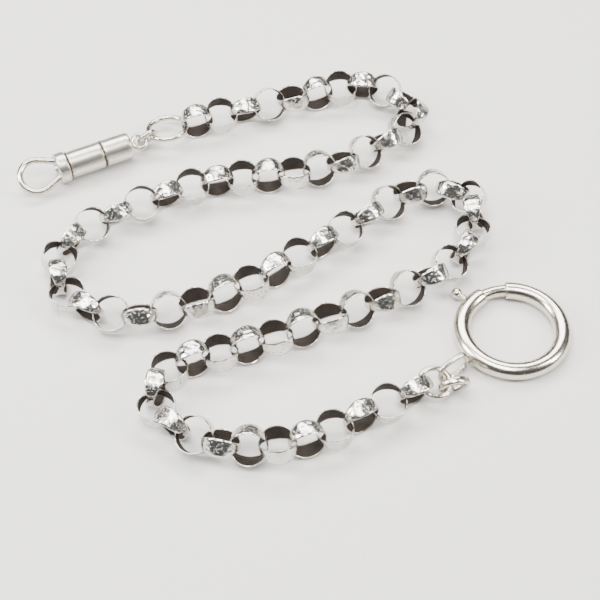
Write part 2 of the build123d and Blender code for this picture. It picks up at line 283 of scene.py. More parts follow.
@dataclass(frozen=True)
class WornSilver:
    """Old silver: bright where it rubs, brown and dull in the hollows, with near-black painted shade
    in the marked insides.

    Attributes:
        name: Name of the material.
        bright: Colour of the rubbed metal.
        brown: Colour of the tarnish.
        dark: Colour of the grime and of the painted shade in the deepest places and insides.
        roughness: Roughness of the rubbed metal.
        tarnish: How much of the open surface the tarnish covers, 0 to 1.
        dent_size: Size of the small dents, in millimetres.
        dent_depth: Depth of the dents, in millimetres.
        pitting: Strength of the dark pits.
    """

    name: str
    bright: tuple[float, float, float, float] = (0.70, 0.675, 0.63, 1.0)
    brown: tuple[float, float, float, float] = (0.30, 0.22, 0.15, 1.0)
    dark: tuple[float, float, float, float] = (0.018, 0.012, 0.009, 1.0)
    roughness: float = 0.15
    tarnish: float = 0.35
    dent_size: float = 1.1
    dent_depth: float = 0.05
    pitting: float = 0.5

    def build(self) -> bpy.types.Material:
        """Make the material."""
        tree = ShaderTree(self.name)
        inputs = tree.shader.inputs
        clouds, specks, hair = tree.noise(2.6, 4.0), tree.noise(0.35, 5.0), tree.noise(0.12, 3.0)
        tarnish_and_shade, rim = tree.mark("tarnish_and_shade"), tree.mark("rim")
        spread = 0.74 - 0.3 * self.tarnish
        stain = clouds * 0.65 + specks * 0.35 + tarnish_and_shade * 0.42 - rim * 0.2
        film = stain.step(spread - 0.1, spread + 0.16)
        pits = tree.noise(0.3, 3.0).step(0.6, 0.68) * self.pitting
        # Painted shade: the marked insides and hollows go near-black. This is mixed with real grime in
        # specks and kept off the rubbed rims.
        painted_shade_and_grime = (tarnish_and_shade * 0.9 + specks * 0.5 - rim * 0.55).step(0.62, 0.98)
        grime_and_shade = (painted_shade_and_grime + pits).clamped()
        tinted = tree.mix(film * 0.7, self.bright, self.brown)
        # Base colour: tarnish film, then the near-black of pits, grime and painted shade.
        tree.feed(inputs["Base Color"], tree.mix(grime_and_shade * 0.97, tinted, self.dark))
        rough = self.roughness + film * 0.2 + grime_and_shade * 0.3 + hair * 0.1 - 0.05
        tree.feed(inputs["Roughness"], rough.clamped())
        tree.feed(inputs["Metallic"], 1.0 - grime_and_shade * 0.45)
        blows = tree.pits(self.dent_size)
        waves = tree.noise(self.dent_size * 1.7, 1.0)
        height = blows * 0.6 + waves * 0.4 + specks * 0.12 - pits * 0.3 + hair * 0.02
        tree.bump(height, self.dent_depth, 0.9)
        return tree.material


@dataclass(frozen=True)
class DullMetal:
    """Unpolished metal inside the fittings.

    Attributes:
        name: Name of the material.
        colour: Colour of the metal.
        stain: Colour of its stains.
        roughness: Roughness of the clean metal.
    """

    name: str
    colour: tuple[float, float, float, float]
    stain: tuple[float, float, float, float]
    roughness: float = 0.35

    def build(self) -> bpy.types.Material:
        """Make the material."""
        tree = ShaderTree(self.name)
        inputs = tree.shader.inputs
        stains = tree.noise(0.9, 4.0).step(0.42, 0.68)
        grain = tree.noise(0.08, 2.0)
        tree.feed(inputs["Base Color"], tree.mix(stains, self.colour, self.stain))
        tree.feed(inputs["Metallic"], 1.0 - stains * 0.3)
        tree.feed(inputs["Roughness"], (self.roughness + stains * 0.25 + grain * 0.08).clamped())
        tree.bump(grain * 0.6 + stains * 0.4, 0.02, 0.5)
        return tree.material


class FloorCard:
    """The plain pale card that the chain lies on."""

    HALF = 0.9
    DROP = 0.00006

    def build(self) -> bpy.types.Object:
        """Make the floor."""
        mesh = bpy.data.meshes.new("floor_card")
        h = self.HALF
        mesh.from_pydata(
            [(-h, -h, -self.DROP), (h, -h, -self.DROP), (h, h, -self.DROP), (-h, h, -self.DROP)],
            [],
            [(0, 1, 2, 3)],
        )
        floor = bpy.data.objects.new("floor_card", mesh)
        bpy.context.collection.objects.link(floor)
        tree = ShaderTree("pale_card")
        grain = tree.noise(0.5, 3.0)
        tree.feed(
            tree.shader.inputs["Base Color"],
            tree.mix(grain, (0.70, 0.69, 0.67, 1.0), (0.76, 0.75, 0.73, 1.0)),
        )
        tree.feed(tree.shader.inputs["Roughness"], 0.6 + grain * 0.2)
        mesh.materials.append(tree.material)
        return floor


# ------------------------------------------------------------------ places and meshes
def turned_frame(place: Sequence[float], along: Sequence[float], roll: float) -> Matrix:
    """Frame with x along the chain and z at the roll, from the chain's right side up and over.

    Args:
        place: Origin, in the frame of the lie, in millimetres.
        along: Direction of x on the surface.
        roll: Angle of z above the chain's right side, in degrees.

    Returns:
        The frame, in millimetres, about the model's own origin.
    """
    x = Vector((along[0], along[1], 0.0)).normalized()
    right = Vector((x.y, -x.x, 0.0))
    z = right * math.cos(math.radians(roll)) + UP * math.sin(math.radians(roll))
    y = z.cross(x)
    origin = Vector((place[0] - LIE_CENTRE[0], place[1] - LIE_CENTRE[1], place[2]))
    frame = Matrix((x, y, z)).transposed().to_4x4()
    frame.translation = origin
    return frame


Placer = Callable[[float, float, float], Vector]


@dataclass
class PieceMesh:
    """Vertices, faces and marks of one piece, in millimetres."""

    vertices: list[Vector] = field(default_factory=list)
    faces: list[tuple[int, ...]] = field(default_factory=list)
    tarnish_and_shade: list[float] = field(default_factory=list)

    def stations(
        self,
        rows: Sequence[tuple[float, float]],
        place: Placer,
        sides: int,
        closed: bool,
        tarnish_and_shade: Callable[[int], float] = lambda row: 0.0,
    ) -> "PieceMesh":
        """Add a round form as circles strung along a line.

        Args:
            rows: Where each circle stands along the line, and its radius.
            place: Gives the point for a distance along, a radius and a turn in radians.
            sides: Points round each circle.
            closed: True joins the last circle to the first, False caps both ends.
            tarnish_and_shade: Mark of each row for tarnish and painted shade.

        Returns:
            This mesh.
        """
        start = len(self.vertices)
        for number, (distance, radius) in enumerate(rows):
            for side in range(sides):
                self.vertices.append(place(distance, radius, 2 * math.pi * side / sides))
                self.tarnish_and_shade.append(tarnish_and_shade(number))
        count = len(rows)
        for row in range(count if closed else count - 1):
            after = (row + 1) % count
            for side in range(sides):
                beside = (side + 1) % sides
                self.faces.append(
                    (
                        start + row * sides + side,
                        start + row * sides + beside,
                        start + after * sides + beside,
                        start + after * sides + side,
                    )
                )
        if not closed:
            for row, order in ((0, -1), (count - 1, 1)):
                middle = len(self.vertices)
                self.vertices.append(place(rows[row][0], 0.0, 0.0))
                self.tarnish_and_shade.append(tarnish_and_shade(row))
                for side in range(sides):
                    pair = (start + row * sides + side, start + row * sides + (side + 1) % sides)
                    self.faces.append((middle, *pair[::order]))
        return self

    def loop(
        self,
        path: Sequence[tuple[float, float]],
        section: Sequence[tuple[float, float]],
        frame: Matrix,
        closed: bool,
        girth: Callable[[float], float] = lambda share: 1.0,
    ) -> "PieceMesh":
        """Sweep a section along a flat path in a frame's x-y plane.

        Args:
            path: Points of the path.
            section: Points of the section: outwards from the path, and along the frame's z.
            frame: The frame of the path.
            closed: True joins the path's end to its start, False caps both ends.
            girth: Scale of the section at a share of the path from 0 to 1.

        Returns:
            This mesh.
        """
        count = len(path)
        rows = []
        for number, (x, y) in enumerate(path):
            before = path[number - 1] if closed or number else path[0]
            after = path[(number + 1) % count] if closed or number < count - 1 else path[-1]
            heading = Vector((after[0] - before[0], after[1] - before[1])).normalized()
            rows.append((x, y, heading.y, -heading.x, girth(number / count)))

        def place(distance: float, radius: float, turn: float) -> Vector:
            """Point of the section at one point of the path, or the path's own point."""
            x, y, out_x, out_y, scale = rows[int(distance)]
            if radius == 0.0:
                return frame @ Vector((x, y, 0.0))
            out, up = section[round(turn * len(section) / (2 * math.pi)) % len(section)]
            return frame @ Vector((x + out * out_x * scale, y + out * out_y * scale, up * scale))

        return self.stations([(n, 1.0) for n in range(count)], place, len(section), closed)

    def finish(self, name: str, material: bpy.types.Material) -> bpy.types.Object:
        """Make the object, in metres.

        Args:
            name: Name of the piece.
            material: Its material.

        Returns:
            The object, at the origin, with outward faces.
        """
        mesh = bpy.data.meshes.new(name)
        mesh.from_pydata([tuple(v * MM) for v in self.vertices], [], self.faces)
        # The stored mark gives tarnish and painted shade in the material.
        layer = mesh.attributes.new("tarnish_and_shade", "FLOAT", "POINT")
        layer.data.foreach_set("value", self.tarnish_and_shade)
        turn_outwards(mesh)
        mesh.shade_smooth()
        mesh.materials.append(material)
        piece = bpy.data.objects.new(name, mesh)
        bpy.context.collection.objects.link(piece)
        return piece


def turn_outwards(mesh: bpy.types.Mesh) -> None:
    """Turn every face of a closed mesh outwards."""
    work = bmesh.new()
    work.from_mesh(mesh)
    bmesh.ops.recalc_face_normals(work, faces=work.faces[:])
    work.to_mesh(mesh)
    work.free()


def round_section(radius: float, sides: int = 20) -> list[tuple[float, float]]:
    """Section of round wire."""
    turns = (2 * math.pi * side / sides for side in range(sides))
    return [(radius * math.cos(turn), radius * math.sin(turn)) for turn in turns]


def soft_box_section(
    thick: float, wide: float, power: float, sides: int = 28
) -> list[tuple[float, float]]:
    """Section between an oval and a rectangle; a smaller power is squarer."""

    def eased(value: float) -> float:
        """A sine or cosine, pressed towards 1 or -1."""
        return math.copysign(abs(value) ** power, value)

    turns = (2 * math.pi * side / sides for side in range(sides))
    return [(thick / 2 * eased(math.cos(turn)), wide / 2 * eased(math.sin(turn))) for turn in turns]


def circle_path(radius: float, count: int) -> list[tuple[float, float]]:
    """Points round a circle."""
    turns = (2 * math.pi * n / count for n in range(count))
    return [(radius * math.cos(turn), radius * math.sin(turn)) for turn in turns]


def dress(piece: bpy.types.Object, body: str, slot: Slot, nodes: Sequence[str]) -> None:
    """Make a piece ride on its body, hide the CAD nodes that it replaces and log it.

    Args:
        piece: The finished piece.
        body: Name of the body that it moves with.
        slot: Material slot of the record; not used.
        nodes: CAD nodes that it replaces.
    """
    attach(piece, body)
    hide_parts(*nodes)
    log.info("%s: %d faces on %s", piece.name, len(piece.data.polygons), body)


# ------------------------------------------------------------------ the chain
@dataclass
class LieOfChain:
    """Where each link lies.

    Attributes:
        count: Number of links.
        radius: Outside radius of a link at its edges.
        width: Width of its band.
        hang: How far a link may hang below its neighbours' height.
    """

    count: int = 73
    radius: float = 2.74
    width: float = 2.7
    hang: float = 0.1

    @staticmethod
    def _slope(index: int, column: int) -> float:
        """Slope of one column of the lie at one row, per link."""
        before, here, after = LIE[max(index - 1, 0)], LIE[index], LIE[min(index + 1, len(LIE) - 1)]
        if before is here or after is here:
            return (after[column] - before[column]) / (after[0] - before[0])
        back = (here[column] - before[column]) / (here[0] - before[0])
        ahead = (after[column] - here[column]) / (after[0] - here[0])
        back_span, ahead_span = here[0] - before[0], after[0] - here[0]
        return (back * ahead_span + ahead * back_span) / (back_span + ahead_span)

    def value(self, number: int, column: int) -> float:
        """One column of the lie at any link, on a smooth curve through the rows."""
        index = max(i for i in range(len(LIE) - 1) if i == 0 or LIE[i][0] <= number)
        low, high = LIE[index], LIE[index + 1]
        span = high[0] - low[0]
        t = (number - low[0]) / span
        return (
            (2 * t**3 - 3 * t**2 + 1) * low[column]
            + (t**3 - 2 * t**2 + t) * span * self._slope(index, column)
            + (3 * t**2 - 2 * t**3) * high[column]
            + (t**3 - t**2) * span * self._slope(index + 1, column)
        )

    def height(self, roll: float) -> float:
        """Height of a link's centre when it stands on the surface at a roll."""
        angle = math.radians(roll)
        return self.radius * abs(math.cos(angle)) + self.width / 2 * abs(math.sin(angle))

    def frame(self, number: int) -> Matrix:
        """Frame of one link: x along the chain, z along its ring axis."""
        before, after = max(number - 1, 1), min(number + 1, self.count)
        along = (
            self.value(after, 1) - self.value(before, 1),
            self.value(after, 2) - self.value(before, 2),
        )
        roll = 90 * number + self.value(number, 3)
        height = max(self.height(roll), self.height(roll + 90) - self.hang)
        return turned_frame((self.value(number, 1), self.value(number, 2), height), along, roll)


@dataclass
class LinkBlank:
    """One belcher link, before it is set in the chain.

    Attributes:
        outer: Outside radius at the top of the dome.
        inner: Inside radius.
        width: Width of the band at the link's sides.
        worn: Half length of the oval that narrows the band towards its ends.
        dome: Drop of the outside face at its edges.
        rim: How far each edge is rounded.
        around: Points round the link.
        across: Points across each face of the band.
    """

    outer: float = 2.8
    inner: float = 2.58
    width: float = 2.7
    worn: float = 2.98
    dome: float = 0.06
    rim: float = 0.018
    around: int = 56
    across: int = 8

    def section(self) -> list[tuple[float, float, float, float]]:
        """Points round the band: radius, share of the half width, mark of tarnish and painted shade,
        rim mark.
        """
        points = []
        for step in range(self.across + 1):
            share = -1 + 2 * step / self.across
            edge = 1.0 if step in (0, self.across) else 0.0
            radius = self.outer - self.dome * share**2 - self.rim * edge
            points.append((radius, share * (1 - 0.012 * edge), 0.0, edge))
        middle = (self.outer - self.dome + self.inner) / 2
        points.append((middle, 1.0, 0.25, 1.0))
        # The inside face carries the full mark: tarnish and near-black painted shade.
        for step in range(self.across + 1):
            share = 1 - 2 * step / self.across
            edge = 1.0 if step in (0, self.across) else 0.0
            radius = self.inner + self.rim * edge
            points.append((radius, share * (1 - 0.012 * edge), 1.0 - 0.4 * edge, edge * 0.7))
        points.append((middle, -1.0, 0.25, 1.0))
        return points

    def build(self) -> bpy.types.Object:
        """Make the blank, with its marks, as an object for the chain press to copy."""
        section = self.section()
        vertices, tarnish_and_shade, rim = [], [], []
        for step in range(self.around):
            turn = 2 * math.pi * step / self.around
            for radius, share, tarnish_shade_mark, is_rim in section:
                x = self.outer * math.cos(turn)
                half = self.width / 2 * math.sqrt(max(0.0, 1 - (x / self.worn) ** 2))
                vertices.append(
                    (radius * math.cos(turn) * MM, radius * math.sin(turn) * MM, share * half * MM)
                )
                tarnish_and_shade.append(tarnish_shade_mark)
                rim.append(is_rim)
        count = len(section)
        faces = []
        for step in range(self.around):
            after = (step + 1) % self.around
            for point in range(count):
                beside = (point + 1) % count
                faces.append(
                    (
                        step * count + point,
                        after * count + point,
                        after * count + beside,
                        step * count + beside,
                    )
                )
        mesh = bpy.data.meshes.new("link_blank")
        mesh.from_pydata(vertices, [], faces)
        turn_outwards(mesh)
        for name, values in (("tarnish_and_shade", tarnish_and_shade), ("rim", rim)):
            layer = mesh.attributes.new(name, "FLOAT", "POINT")
            layer.data.foreach_set("value", values)
        blank = bpy.data.objects.new("link_blank", mesh)
        bpy.context.collection.objects.link(blank)
        return blank


class ChainPress:
    """Geometry Nodes tree that sets copies of the blank at marked points and dents each one."""

    def __init__(self) -> None:
        """Build the tree with its named inputs."""
        self.group = bpy.data.node_groups.new("chain_press", "GeometryNodeTree")
        self.identifiers: dict[str, str] = {}
        sockets = (
            ("Geometry", "NodeSocketGeometry", None),
            ("Blank", "NodeSocketObject", None),
            ("Metal", "NodeSocketMaterial", None),
            ("Dent Depth", "NodeSocketFloat", 0.0),
            ("Dent Size", "NodeSocketFloat", 0.0),
            ("Bend Depth", "NodeSocketFloat", 0.0),
            ("Bend Size", "NodeSocketFloat", 0.0),
            ("Seed", "NodeSocketInt", SEED),
        )
        for name, kind, default in sockets:
            item = self.group.interface.new_socket(name=name, in_out="INPUT", socket_type=kind)
            if default is not None:
                item.default_value = default
            self.identifiers[name] = item.identifier
        self.group.interface.new_socket(
            name="Geometry", in_out="OUTPUT", socket_type="NodeSocketGeometry"
        )
        self._wire()

    def _node(self, kind: str, settings: dict[str, Any], inputs: dict[Any, Any]) -> Any:
        """Add a node, set its properties, then its inputs."""
        node = self.group.nodes.new(kind)
        for name, value in settings.items():
            setattr(node, name, value)
        for key, value in inputs.items():
            if isinstance(value, bpy.types.NodeSocket):
                self.group.links.new(value, node.inputs[key])
            else:
                node.inputs[key].default_value = value
        return node

    def _wire(self) -> None:
        """Lay out the tree."""
        given = self._node("NodeGroupInput", {}, {}).outputs
        info = self._node("GeometryNodeObjectInfo", {}, {"Object": given["Blank"]})
        turn = self._node(
            "GeometryNodeInputNamedAttribute", {"data_type": "FLOAT_VECTOR"}, {"Name": "turn"}
        )
        rotation = self._node("FunctionNodeEulerToRotation", {}, {0: turn.outputs[0]})
        copies = self._node(
            "GeometryNodeInstanceOnPoints",
            {},
            {
                "Points": given["Geometry"],
                "Instance": info.outputs["Geometry"],
                "Rotation": rotation.outputs[0],
            },
        )
        links = self._node("GeometryNodeRealizeInstances", {}, {0: copies.outputs[0]})
        dented = self._dent(links.outputs[0], given, "Dent Size", "Dent Depth", True)
        bent = self._dent(dented, given, "Bend Size", "Bend Depth", False)
        smooth = self._node("GeometryNodeSetShadeSmooth", {}, {0: bent})
        dressed = self._node(
            "GeometryNodeSetMaterial", {}, {"Geometry": smooth.outputs[0], "Material": given["Metal"]}
        )
        self._node("NodeGroupOutput", {}, {0: dressed.outputs[0]})

    def _dent(self, geometry: Any, given: Any, size: str, depth: str, along_normal: bool) -> Any:
        """Move points by noise, along their normals or in every direction."""
        place = self._node("GeometryNodeInputPosition", {}, {})
        scale = self._node("ShaderNodeMath", {"operation": "DIVIDE"}, {0: 1.0, 1: given[size]})
        noise = self._node(
            "ShaderNodeTexNoise",
            {"noise_dimensions": "4D"},
            {"Vector": place.outputs[0], "Scale": scale.outputs[0], "Detail": 1.0, "W": given["Seed"]},
        )
        centred = self._node(
            "ShaderNodeVectorMath",
            {"operation": "SUBTRACT"},
            {0: noise.outputs["Color"], 1: (0.5, 0.5, 0.5)},
        )
        if along_normal:
            normal = self._node("GeometryNodeInputNormal", {}, {})
            red = self._node("ShaderNodeSeparateXYZ", {}, {0: centred.outputs[0]})
            moved = self._node(
                "ShaderNodeVectorMath",
                {"operation": "SCALE"},
                {0: normal.outputs[0], "Scale": red.outputs[0]},
            )
        else:
            moved = centred
        offset = self._node(
            "ShaderNodeVectorMath",
            {"operation": "SCALE"},
            {0: moved.outputs[0], "Scale": given[depth]},
        )
        result = self._node(
            "GeometryNodeSetPosition", {}, {"Geometry": geometry, "Offset": offset.outputs[0]}
        )
        return result.outputs[0]

    def press(
        self, name: str, frames: Sequence[Matrix], inputs: dict[str, Any]
    ) -> bpy.types.Object:
        """Make the links of one body.

        Args:
            name: Name of the piece.
            frames: Frame of each link, in millimetres.
            inputs: Values of the tree's inputs by name.

        Returns:
            The piece, as a plain mesh.
        """
        seats = bpy.data.meshes.new(f"{name}_seats")
        seats.from_pydata([tuple(frame.translation * MM) for frame in frames], [], [])
        turns = seats.attributes.new("turn", "FLOAT_VECTOR", "POINT")
        turns.data.foreach_set(
            "vector", [angle for frame in frames for angle in frame.to_euler("XYZ")]
        )
        piece = bpy.data.objects.new(name, seats)
        bpy.context.collection.objects.link(piece)
        modifier = piece.modifiers.new("chain_press", "NODES")
        modifier.node_group = self.group
        for label, value in inputs.items():
            modifier[self.identifiers[label]] = value
        evaluated = piece.evaluated_get(bpy.context.evaluated_depsgraph_get())
        plain = bpy.data.meshes.new_from_object(evaluated)
        plain.name = name
        piece.modifiers.remove(modifier)
        piece.data = plain
        return piece


@dataclass
class BelcherChain:
    """All the links, one piece for each rigid body.

    Attributes:
        dent_depth: Depth of the dents on the band's faces, in millimetres.
        dent_size: Size of the dents.
        bend_depth: How far a link is out of round.
        bend_size: Size of the bends.
    """

    dent_depth: float = 0.15
    dent_size: float = 1.0
    bend_depth: float = 0.24
    bend_size: float = 4.0

    def build(self, bodies: Iterable[str], metal: bpy.types.Material) -> None:
        """Make every link of the chain.

        Args:
            bodies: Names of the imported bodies.
            metal: Material of the links.
        """
        lie = LieOfChain()
        blank = LinkBlank().build()
        press = ChainPress()
        inputs = {
            "Blank": blank,
            "Metal": metal,
            "Dent Depth": self.dent_depth * MM,
            "Dent Size": self.dent_size * MM,
            "Bend Depth": self.bend_depth * MM,
            "Bend Size": self.bend_size * MM,
            "Seed": SEED,
        }
        for body in sorted(name for name in bodies if name.startswith("chain_link")):
            numbers = [int(word) for word in body.split("_") if word.isdigit()]
            frames = [lie.frame(number) for number in range(numbers[0], numbers[-1] + 1)]
            piece = press.press(f"worn_{body}", frames, inputs)
            dress(piece, body, Slot.CHAIN, [body])
        bpy.data.objects.remove(blank)


# ------------------------------------------------------------------ the bolt ring
@dataclass
class BoltRing:
    """The sprung ring: tube, bolt, thumb knob, coil spring and eye.

    Attributes:
        centre: Centre of the ring on the surface, in the frame of the lie.
        radius: Radius to the middle of the tube.
        tube: Outside radius of the tube.
        bore: Radius of its bore.
        mouth: Directions of the two lips, in degrees.
        bolt: Radius of the bolt.
        bolt_span: Directions of the bolt's tip and tail.
        knob_at: Direction of the thumb knob.
        knob_reach: From the ring's centre to the ball of the knob.
        ball: Radius of the ball.
        stem: Radius of the knob's stem.
        eye_at: Direction of the eye.
        eye_reach: From the ring's centre to the eye's middle.
        eye_height: Height of the eye's middle.
        eye_roll: Roll of the eye.
        eye_half: Half length and half width of the eye, to the middle of its wire.
        wire: Radius of the eye's wire.
        lip: Rounding of the tube's lips.
        ripple: Depth of the slight waves along the tube.
        coil: Radius to the middle of the spring's wire.
        gauge: Radius of the spring's wire.
        coil_span: Directions of the spring's ends.
    """

    centre: tuple[float, float] = (31.6, -6.7)
    radius: float = 7.5
    tube: float = 1.32
    bore: float = 0.96
    mouth: tuple[float, float] = (93.0, 122.0)
    bolt: float = 0.9
    bolt_span: tuple[float, float] = (85.5, 146.0)
    knob_at: float = 138.0
    knob_reach: float = 10.4
    ball: float = 0.86
    stem: float = 0.42
    eye_at: float = 218.23
    eye_reach: float = 11.74
    eye_height: float = 1.88
    eye_roll: float = 164.9
    eye_half: tuple[float, float] = (2.59, 1.42)
    wire: float = 0.42
    lip: float = 0.14
    ripple: float = 0.012
    coil: float = 0.73
    gauge: float = 0.13
    coil_span: tuple[float, float] = (147.0, 245.0)

    @property
    def middle(self) -> Vector:
        """Centre of the ring in the model's frame, in millimetres."""
        return Vector(
            (self.centre[0] - LIE_CENTRE[0], self.centre[1] - LIE_CENTRE[1], self.tube)
        )

    @property
    def per_degree(self) -> float:
        """Millimetres along the tube's middle for each degree."""
        return math.radians(1.0) * self.radius

    @staticmethod
    def outwards(angle: float) -> Vector:
        """Level direction from the ring's centre at an angle in degrees."""
        return Vector((math.cos(math.radians(angle)), math.sin(math.radians(angle)), 0.0))

    def on_tube(self, angle: float, radius: float, turn: float) -> Vector:
        """Point round the tube: direction in degrees, distance from its middle, and turn."""
        reach = self.radius + radius * math.cos(turn)
        return self.middle + self.outwards(angle) * reach + UP * (radius * math.sin(turn))

    def build(
        self, silver: bpy.types.Material, wire: bpy.types.Material, steel: bpy.types.Material
    ) -> None:
        """Make the ring's pieces.

        Args:
            silver: Material of the tube, bolt and knob.
            wire: Material of the eye.
            steel: Material of the spring.
        """
        dress(self.tube_piece(silver), Body.BOLT_RING.value, Slot.RING, ["bolt_ring_body"])
        dress(self.bolt_piece(silver), Body.BOLT.value, Slot.RING, ["ring_bolt"])
        dress(self.knob_piece(silver), Body.BOLT.value, Slot.RING, ["thumb_knob"])
        dress(self.eye_piece(wire), Body.BOLT_RING.value, Slot.WIRE, ["ring_eye"])
        self.spring(steel)

    def tube_piece(self, silver: bpy.types.Material) -> bpy.types.Object:
        """The bent tube with its bore and rounded lips.

        Args:
            silver: Its material.

        Returns:
            The piece.
        """
        right, left = self.mouth
        end = left + 360.0 - (left - right)
        lip, steps = self.lip, 132
        inside, edge, curve = self.bore + lip * 0.9, self.tube - lip, self.tube - lip * 0.3
        rise = lip * 0.4 / self.per_degree
        first, last = left + lip / self.per_degree, end - lip / self.per_degree
        rows = [(left, inside), (left, edge), (left + rise, curve)]
        for step in range(steps + 1):
            share = step / steps
            swell = self.ripple * math.sin(9.0 * math.pi * share) * math.sin(math.pi * share)
            rows.append((first + (last - first) * share, self.tube - abs(swell)))
        rows += [(end - rise, curve), (end, edge), (end, inside)]
        outside = len(rows)
        rows += [(last - (last - first) * step / steps, self.bore) for step in range(steps + 1)]
        body = PieceMesh()
        # The bore rows carry the full mark: tarnish and painted shade inside the tube.
        body.stations(rows, self.on_tube, 40, True, lambda row: 1.0 if row >= outside else 0.0)
        piece = body.finish("bolt_ring_tube", silver)
        piece.data.set_sharp_from_angle(angle=math.radians(42))
        return piece

    def bolt_piece(self, silver: bpy.types.Material) -> bpy.types.Object:
        """The curved bolt, with softened ends.

        Args:
            silver: Its material.

        Returns:
            The piece.
        """
        tip, tail = self.bolt_span
        soft, arc_steps, steps = 0.25, 5, 40
        ease = soft / self.per_degree
        rows = []
        for step in range(1, arc_steps + 1):
            left_over = 1 - math.sin(math.pi / 2 * step / arc_steps)
            inset = soft if step == 1 else soft * left_over
            rows.append((tip + ease * left_over, self.bolt - inset))
        for step in range(steps + 1):
            rows.append((tip + ease + (tail - tip - 2 * ease) * step / steps, self.bolt))
        rows.append((tail, self.bolt - soft))
        return PieceMesh().stations(rows, self.on_tube, 32, False).finish("sprung_bolt", silver)

    def knob_piece(self, silver: bpy.types.Material) -> bpy.types.Object:
        """The thumb knob: a short stem with a filed neck and a ball.

        Args:
            silver: Its material.

        Returns:
            The piece.
        """
        out = self.outwards(self.knob_at)
        side = out.cross(UP)
        rim = self.radius + self.tube

        def place(distance: float, radius: float, turn: float) -> Vector:
            """Point round the knob's axis."""
            across = side * math.cos(turn) + UP * math.sin(turn)
            return self.middle + out * distance + across * radius

        rows = [(self.radius + 0.45, self.stem)]
        rows += [
            (rim + rise, self.stem * swell)
            for rise, swell in ((0.1, 1.0), (0.16, 1.35), (0.3, 1.4), (0.38, 1.0))
        ]
        neck = math.asin(self.stem / self.ball)
        for step in range(17):
            angle = neck + (math.pi - neck - 0.08) * step / 16
            across = self.ball * math.sin(angle)
            rows.append((self.knob_reach - self.ball * math.cos(angle), across))
        return PieceMesh().stations(rows, place, 28, False).finish("ball_knob", silver)

    def eye_piece(self, wire: bpy.types.Material) -> bpy.types.Object:
        """The oval wire eye, run into the tube, with a bead of solder at its root.

        Args:
            wire: Its material.

        Returns:
            The piece.
        """
        out = self.outwards(self.eye_at)
        place = (
            self.centre[0] + out.x * self.eye_reach,
            self.centre[1] + out.y * self.eye_reach,
            self.eye_height,
        )
        frame = turned_frame(place, (out.x, out.y), self.eye_roll)
        length, width = self.eye_half
        path = []
        for step in range(72):
            turn = 2 * math.pi * step / 72
            straight = (length - width) * max(-1.0, min(1.0, 2.2 * math.cos(turn)))
            path.append((straight + width * math.cos(turn), width * math.sin(turn)))
        section = round_section(self.wire)
        eye = PieceMesh().loop(path, section, frame, True, lambda s: 1 + 0.03 * math.sin(19 * s))
        root = self.middle + out * (self.radius + self.tube + 0.06)
        root.z = self.eye_height - 0.25

        def blob(distance: float, radius: float, turn: float) -> Vector:
            """Point on the uneven bead of solder."""
            across = UP.cross(out) * math.cos(turn) + UP * math.sin(turn) * 0.72
            lump = 1 + 0.08 * math.sin(3 * turn + 5 * distance)
            return root + out * distance + across * radius * lump

        bead = []
        for step in range(13):
            girth = 0.72 * math.sqrt(max(0.02, 1 - ((step - 6) / 6.2) ** 2))
            bead.append((-0.62 + 1.24 * step / 12, girth))
        eye.stations(bead, blob, 24, False, lambda row: 0.6)
        return eye.finish("soldered_eye", wire)

    def spring(self, steel: bpy.types.Material) -> None:
        """The coil spring behind the bolt.

        Args:
            steel: Its material.
        """
        start, end = self.coil_span
        turns, per_turn = 19, 16
        count = turns * per_turn
        angles = [start + (end - start) * (step / count) for step in range(count + 1)]
        points = [
            self.on_tube(angle, self.coil, 2 * math.pi * turns * (step / count))
            for step, angle in enumerate(angles)
        ]

        def place(distance: float, radius: float, turn: float) -> Vector:
            """Point round the wire at one of the coil's points."""
            here = int(distance)
            ahead = (points[min(here + 1, count)] - points[max(here - 1, 0)]).normalized()
            out = points[here] - self.on_tube(angles[here], 0.0, 0.0)
            out = (out - ahead * out.dot(ahead)).normalized()
            return points[here] + (out * math.cos(turn) + ahead.cross(out) * math.sin(turn)) * radius

        rows = [(float(n), self.gauge) for n in range(count + 1)]
        piece = PieceMesh().stations(rows, place, 8, False).finish("coil_spring", steel)
        tuple(self.on_tube(end, 0.0, 0.0) * MM)
        tuple(self.on_tube(start, 0.0, 0.0) * MM)
        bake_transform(piece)
        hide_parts("bolt_spring")
        log.info("coil_spring: %d faces", len(piece.data.polygons))


# ------------------------------------------------------------------ rings of wire
@dataclass(frozen=True)
class WireRing:
    """A jump ring of round wire with a butt joint.

    Attributes:
        name: Name of the piece.
        body: Body and node that it stands for.
        radius: Radius to the middle of the wire.
        wire: Radius of the wire.
        place: Its centre, in the frame of the lie.
        turn: Direction on the surface and roll.
        joint: Share of the way round at which the joint lies.
    """

    name: str
    body: Body
    radius: float
    wire: float
    place: tuple[float, float, float]
    turn: tuple[float, float, float]
    joint: float

    def girth(self, share: float) -> float:
        """Scale of the wire: worn thin in places and filed at the joint."""
        gap = min(abs(share - self.joint), 1 - abs(share - self.joint))
        return 1 - 0.16 * math.exp(-((gap / 0.008) ** 2)) - 0.025 * (1 + math.sin(11 * share + 3))

    def build(self, silver: bpy.types.Material) -> None:
        """Make the ring."""
        frame = turned_frame(self.place, self.turn[:2], self.turn[2])
        mesh = PieceMesh().loop(
            circle_path(self.radius, 120), round_section(self.wire), frame, True, self.girth
        )
        dress(mesh.finish(self.name, silver), self.body.value, Slot.WIRE, [self.body.value])


WIRE_RINGS = (
    WireRing(
        name="open_front_ring", body=Body.FRONT_RING, radius=2.32, wire=0.42,
        place=(19.59, -16.66, 1.97), turn=(0.56, 0.828, 77.1), joint=0.83,
    ),
    WireRing(
        name="open_rear_ring", body=Body.REAR_RING, radius=3.2, wire=0.45,
        place=(-22.11, 34.56, 2.16), turn=(0.928, 0.372, 101.5), joint=0.7,
    ),
    WireRing(
        name="open_small_ring", body=Body.SMALL_RING, radius=1.6, wire=0.4,
        place=(-25.3, 32.4, 2.25), turn=(0.793, 0.61, -22.3), joint=0.3,
    ),
)


